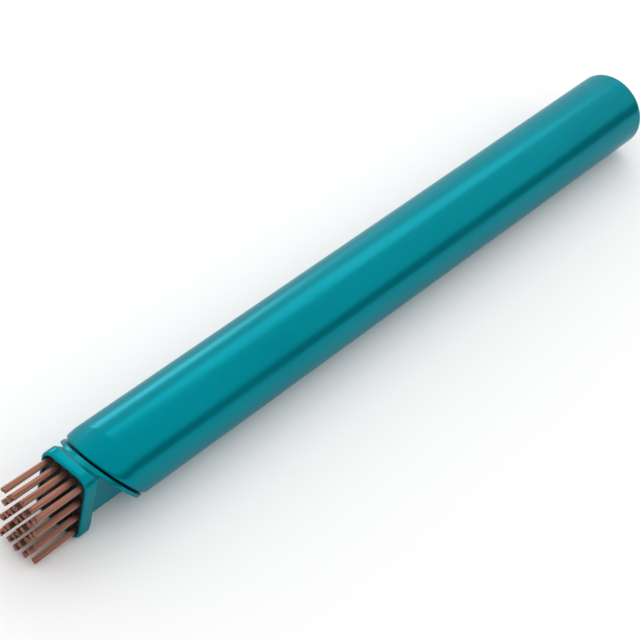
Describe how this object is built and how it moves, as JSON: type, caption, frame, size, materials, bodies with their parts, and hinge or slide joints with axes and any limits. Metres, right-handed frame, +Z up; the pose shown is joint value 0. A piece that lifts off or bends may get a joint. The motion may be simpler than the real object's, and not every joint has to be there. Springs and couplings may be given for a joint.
{
  "type": "club groove brush",
  "caption": "Pocket brush with a round hollow handle, slanted at the front, and a plug-in rectangular head of straight wire tufts.",
  "frame": {"origin": "centre of the footprint, on the surface that the handle lies on", "axes": "+X along the handle towards its closed back end, +Z up from the surface to the top of the slanted front, -Y towards the head's right side seen from behind"},
  "size_m": [0.175, 0.016, 0.016],
  "materials": {
    "teal_plastic": "gloss",
    "copper_wire": "satin"
  },
  "bodies": {
    "handle": {"handle_tube": "teal_plastic", "end_plug": "teal_plastic"},
    "head": {"brush_head": "teal_plastic", "tuft_1_1": "copper_wire", "tuft_1_2": "copper_wire", "tuft_1_3": "copper_wire", "tuft_1_4": "copper_wire", "tuft_1_5": "copper_wire", "tuft_2_1": "copper_wire", "tuft_2_2": "copper_wire", "tuft_2_3": "copper_wire", "tuft_2_4": "copper_wire", "tuft_3_1": "copper_wire", "tuft_3_2": "copper_wire", "tuft_3_3": "copper_wire", "tuft_3_4": "copper_wire", "tuft_3_5": "copper_wire", "tuft_4_1": "copper_wire", "tuft_4_2": "copper_wire", "tuft_4_3": "copper_wire", "tuft_4_4": "copper_wire", "tuft_5_1": "copper_wire", "tuft_5_2": "copper_wire", "tuft_5_3": "copper_wire", "tuft_5_4": "copper_wire", "tuft_5_5": "copper_wire", "tuft_6_1": "copper_wire", "tuft_6_2": "copper_wire", "tuft_6_3": "copper_wire", "tuft_6_4": "copper_wire", "tuft_7_1": "copper_wire", "tuft_7_2": "copper_wire", "tuft_7_3": "copper_wire", "tuft_7_4": "copper_wire", "tuft_7_5": "copper_wire"}
  },
  "joints": [
    {"name": "head_slide", "type": "slide", "parent": "handle", "child": "head", "axis": [-1, 0, 0], "range_m": [0, 0.025]}
  ]
}
